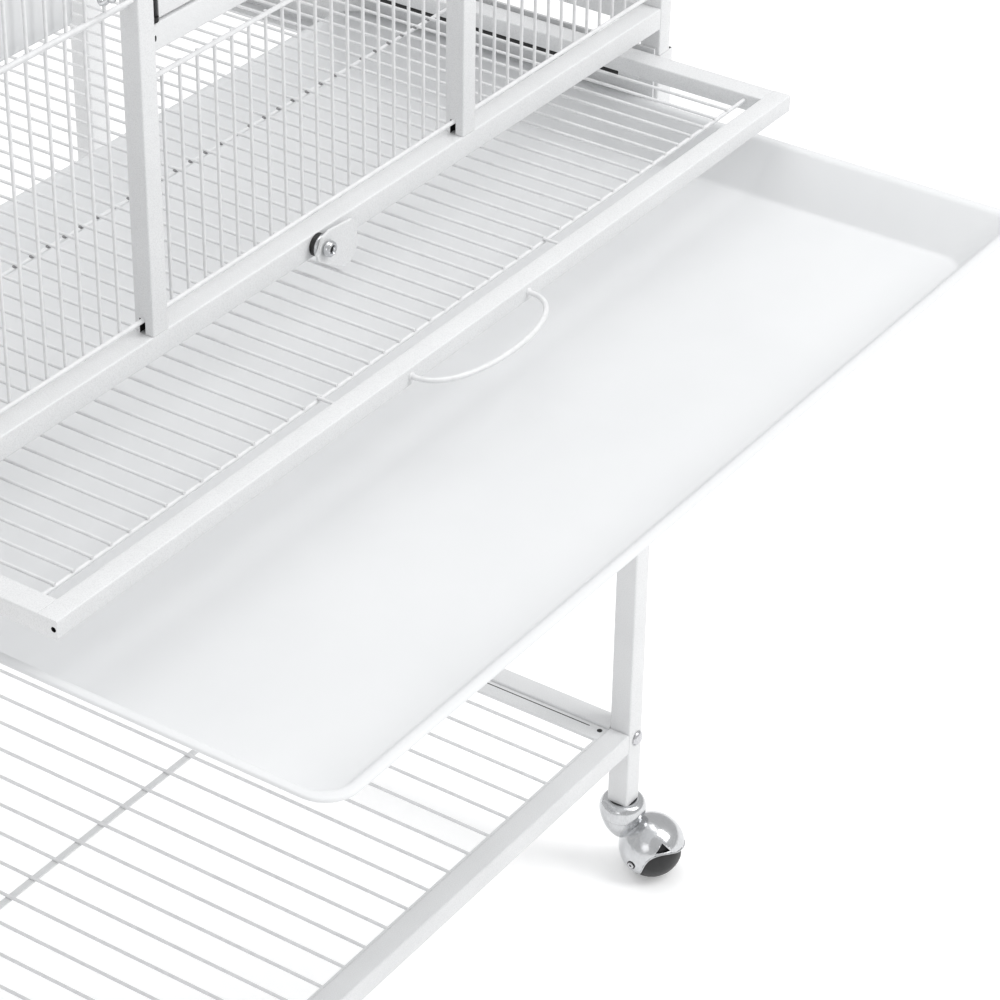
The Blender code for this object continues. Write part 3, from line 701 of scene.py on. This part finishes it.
# Thin black strips and discs inside the side tubes: painted shade of the slot and the hole there.
bm = bmesh.new()
for sx in (-1, 1):
    x0, x1 = sorted((sx * 0.4128, sx * 0.4141))
    bar(bm, (x0, low.y + 0.017, z + 0.0009), (x1, high.y - 0.001, z + 0.0016), 0.0003, ALONG_Y)
    turned(bm, [(0.0, 0.0), (0.0024, 0.0), (0.0024, 0.0003), (0.0, 0.0003)],
           (sx * 0.4122, low.y + 0.0062, z + 0.0014), (0, 0, 1), 20)
add("shelf_shade", bm, PAINTED_SHADE, "cage", ())
bm = bmesh.new()
for x in spread(0, 0.0284, 28):
    sweep(bm, [(x, low.y + 0.001, z), (x, high.y - 0.001, z)], 0.0015, 10)
    dot(bm, (x, middle, z - 0.0012), 0.0014, segments=8)
add("shelf_wires", bm, WIRE, "cage", ())


# ---------------------------------------------------------------- leg screws
def screw(name, centre, normal, radius, height, body, nodes=()):
    """Domed screw head with a cross recess whose faces are painted black as shade."""
    centre, normal = Vector(centre), Vector(normal).normalized()
    bm = bmesh.new()
    turned(bm, [(0.0, 0.0), (radius * 0.94, 0.0), (radius, height * 0.14), (radius * 0.96, height * 0.34),
                (radius * 0.80, height * 0.68), (radius * 0.55, height * 0.90), (radius * 0.28, height),
                (0.0, height)], centre, normal, 40)
    head = add(name, bm, ZINC, body, nodes, angle=50)
    side = normal.orthogonal().normalized()
    other = normal.cross(side)
    tool = bmesh.new()
    for a, b in ((side, other), (other, side)):
        place = Matrix((a, b, normal)).transposed().to_4x4()
        place.translation = centre + normal * height
        bmesh.ops.create_cube(tool, size=1.0, matrix=place @ Matrix.Diagonal(
            (radius * 1.25, radius * 0.42, height * 1.5, 1.0)))
    bmesh.ops.recalc_face_normals(tool, faces=tool.faces)
    return carve(head, tool, PAINTED_SHADE)


for node in ("leg_screw_left", "leg_screw_right"):
    low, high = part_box(node)
    screw(node + "_head", ((low.x + high.x) / 2, high.y, (low.z + high.z) / 2), OUT,
          (high.x - low.x) / 2, high.y - low.y, "cage", [node])

# ---------------------------------------------------------------- casters
HOOD_R = 0.0290


def wheel_bm(centre, axis, radius, grow=0.0):
    """Ball-shaped wheel, flat on its inner side; grown, it is the room for it in the hood."""
    bm = bmesh.new()
    shape = [(0.0, 0.0225), (0.0110, 0.0225)]
    for h in (0.0214, 0.0190, 0.0160, 0.0122, 0.0076, 0.0030, 0.0, -0.0030, -0.0076, -0.0122, -0.0150):
        shape.append((math.sqrt(radius ** 2 - h * h), h))
    shape += [(0.0180, -0.0165), (0.0, -0.0165)]
    turned(bm, [(r + grow if r else 0.0, h + math.copysign(grow, h)) for r, h in shape], centre, axis, 72)
    return bm


for tag in ("front_left", "front_right", "back_left", "back_right"):
    side = 1 if "right" in tag else -1
    low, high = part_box(f"caster_cup_{tag}")
    stem = Vector(((low.x + high.x) / 2, (low.y + high.y) / 2, 0))
    wide, foot = (high.x - low.x) / 2, low.z
    low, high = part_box(f"caster_wheel_{tag}")
    axle = (low + high) / 2
    turn = -side * math.atan2(3, 4)
    across = Vector((math.cos(turn), math.sin(turn), 0))
    ahead = Vector((math.sin(turn), -math.cos(turn), 0))
    ball = Vector((axle.x, axle.y, HOOD_R))

    bm = bmesh.new()
    turned(bm, [(0.0, foot), (wide - 0.0010, foot), (wide - 0.0003, foot + 0.0026), (wide, foot + 0.0054),
                (wide - 0.0002, foot + 0.0082), (wide - 0.0008, foot + 0.0108), (wide - 0.0020, foot + 0.0131),
                (wide - 0.0037, foot + 0.0148), (wide - 0.0056, foot + 0.0156), (wide - 0.0073, foot + 0.0156),
                (wide - 0.0086, foot + 0.0149), (0.0, foot + 0.0147)], stem, (0, 0, 1), 64)
    add(f"caster_cup_{tag}_bowl", bm, CHROME, "cage", [f"caster_cup_{tag}"], angle=60)
    # Black disc inside the rim of the cup, round the leg: painted shade.
    bm = bmesh.new()
    turned(bm, [(0.0, foot + 0.0140), (0.0124, foot + 0.0140), (0.0124, foot + 0.0151), (0.0, foot + 0.0151)],
           stem, (0, 0, 1), 48)
    add(f"caster_cup_{tag}_shade_disc", bm, PAINTED_SHADE, "cage", ())

    bm = bmesh.new()
    profile = [(0.0, -HOOD_R)] + [(HOOD_R * math.sin(a), -HOOD_R * math.cos(a))
                                  for a in (math.pi * k / 36 for k in range(1, 36))] + [(0.0, HOOD_R)]
    turned(bm, profile, ball, (0, 0, 1), 72)
    body = f"swivel_{tag}"
    hood = add(f"caster_hood_{tag}_shell", bm, CHROME, body, [f"caster_hood_{tag}"], angle=35)
    radius = (high.z - low.z) / 2
    carve(hood, wheel_bm(axle, side * across, radius, 0.0008), CHROME)
    arch = [(-0.0172, -0.04), (0.040, -0.04), (0.040, 0.0040), (0.0230, 0.0044), (0.0150, 0.0060),
            (0.0080, 0.0082), (0.0, 0.0093), (-0.0050, 0.0088), (-0.0098, 0.0070),
            (-0.0135, 0.0038), (-0.0160, -0.0015), (-0.0172, -0.008)]

    def front(u, v, h):
        return ball + side * across * u + Vector((0, 0, v)) + ahead * h

    tool = bmesh.new()
    prism(tool, arch, front, 0.004, 0.060, 0.0006)
    carve(hood, tool)
    tool = bmesh.new()
    prism(tool, [(-0.0070, 0.0108), (0.0070, 0.0106), (0.0004, 0.0182)], front, 0.004, 0.060, 0.0008)
    carve(hood, tool)
    carve(hood, block_bm(ball + Vector((-0.05, -0.05, -0.05)), ball + Vector((0.05, 0.05, -0.0220))))

    bm = bmesh.new()
    turned(bm, [(0.0, 0.0345), (0.0050, 0.0352), (0.0080, 0.0370), (0.0098, 0.0390), (0.0115, 0.0413),
                (0.0133, 0.0440), (0.0150, 0.0468), (0.0164, 0.0498), (0.0176, 0.0530), (0.0186, 0.0562),
                (0.0192, 0.0588), (0.0195, foot - 0.0001), (0.0, foot - 0.0001)], stem, (0, 0, 1), 64)
    funnel = add(f"caster_hood_{tag}_neck", bm, CHROME, body, (), angle=50)
    carve(funnel, wheel_bm(axle, side * across, radius, 0.0008), CHROME)

    bm = bmesh.new()
    rim = []
    for u, v in softened([(0.0284, 0.0042)] + arch[3:] + [(-0.0172, -0.018)], 0.002, 3)[2:-2]:
        rim.append(front(u, v, math.sqrt(max(HOOD_R ** 2 - u * u - v * v, 0.0)) - 0.0002))
    sweep(bm, rim, 0.0006, 8)
    add(f"caster_hood_{tag}_rim", bm, CHROME, body, ())
    place = ahead * 0.0144 - side * across * 0.0242 + Vector((0, 0, -0.0060))
    # Black disc round the rivet and a black dot in its middle: painted shade.
    bm = bmesh.new()
    place = place.normalized()
    for r, h in ((0.0040, 0.0004), (0.0013, 0.0013)):
        turned(bm, [(0.0, -0.001), (r, -0.001), (r, h), (0.0, h)], ball + place * HOOD_R, place, 32)
    add(f"caster_hood_{tag}_rivet_shade", bm, PAINTED_SHADE, body, ())
    bm = bmesh.new()
    turned(bm, [(0.0, 0.0), (0.0030, 0.0), (0.0031, 0.0007), (0.0028, 0.0012), (0.0021, 0.0015),
                (0.0014, 0.0013), (0.0012, 0.0008), (0.0, 0.0008)], ball + place * HOOD_R, place, 32)
    add(f"caster_hood_{tag}_rivet", bm, ZINC, body, (), angle=50)

    bm = wheel_bm(axle, side * across, radius)
    add(f"caster_wheel_{tag}_tyre", bm, RUBBER_AND_SHADE, f"wheel_{tag}", [f"caster_wheel_{tag}"])

# ---------------------------------------------------------------- floor, light and camera
floor_shader = Shader("pale_floor", (0.93, 0.93, 0.93), 0.85)
floor_shader.out.inputs["Specular IOR Level"].default_value = 0.1
floor_shader.colour(floor_shader.ramp(floor_shader.noise(3.0), [(0.3, 0.925), (0.7, 0.935)]))
floor_shader.out.inputs["Emission Color"].default_value = (1, 1, 1, 1)
floor_shader.out.inputs["Emission Strength"].default_value = 0.21
bm = bmesh.new()
bmesh.ops.create_grid(bm, x_segments=1, y_segments=1, size=20)
mesh = bpy.data.meshes.new("floor")
bm.to_mesh(mesh)
bm.free()
mesh.materials.append(floor_shader.mat)
floor = bpy.data.objects.new("floor", mesh)
floor.location.z = -0.0005
bpy.context.scene.collection.objects.link(floor)

world = bpy.data.worlds.new("studio")
bpy.context.scene.world = world
world.use_nodes = True
tree = world.node_tree
background = tree.nodes["Background"]
background.inputs["Color"].default_value = (0.99, 0.995, 1.0, 1.0)
background.inputs["Strength"].default_value = 0.65


def area(name, shape, location, target, size, power):
    """Area light that faces a target."""
    light = bpy.data.lights.new(name, "AREA")
    light.shape, light.size, light.size_y = shape, *size
    light.energy = power
    obj = bpy.data.objects.new(name, light)
    obj.location = location
    obj.rotation_euler = (Vector(target) - Vector(location)).to_track_quat("-Z", "Y").to_euler()
    bpy.context.scene.collection.objects.link(obj)
    return obj


area("key", "RECTANGLE", (1.2, -2.6, 3.4), (0, 0, 0.7), (1.6, 3.0), 73)
area("top", "ELLIPSE", (0.0, 0.3, 3.8), (0, 0, 0.7), (3.0, 3.0), 41)
area("fill", "ELLIPSE", (-3.4, -0.6, 1.6), (0, 0, 0.8), (1.8, 1.8), 8)

camera = bpy.data.cameras.new("camera")
camera.sensor_width, camera.lens = 36.0, 122.5
camera.clip_start, camera.clip_end = 0.05, 100
eye = bpy.data.objects.new("camera", camera)
azimuth, elevation, roll = math.radians(-56.215), math.radians(33.078), math.radians(0.952)
back = Vector((math.sin(azimuth) * math.cos(elevation), -math.cos(azimuth) * math.cos(elevation),
               math.sin(elevation)))
level = Vector((math.cos(azimuth), math.sin(azimuth), 0))
rise = back.cross(level)
right = math.cos(roll) * level + math.sin(roll) * rise
up = math.cos(roll) * rise - math.sin(roll) * level
eye.matrix_world = Matrix.Translation((-1.56907, -1.33273, 1.89678)) @ Matrix(
    (right, up, back)).transposed().to_4x4()
bpy.context.scene.collection.objects.link(eye)
bpy.context.scene.camera = eye
bpy.context.scene.view_settings.view_transform = "Standard"
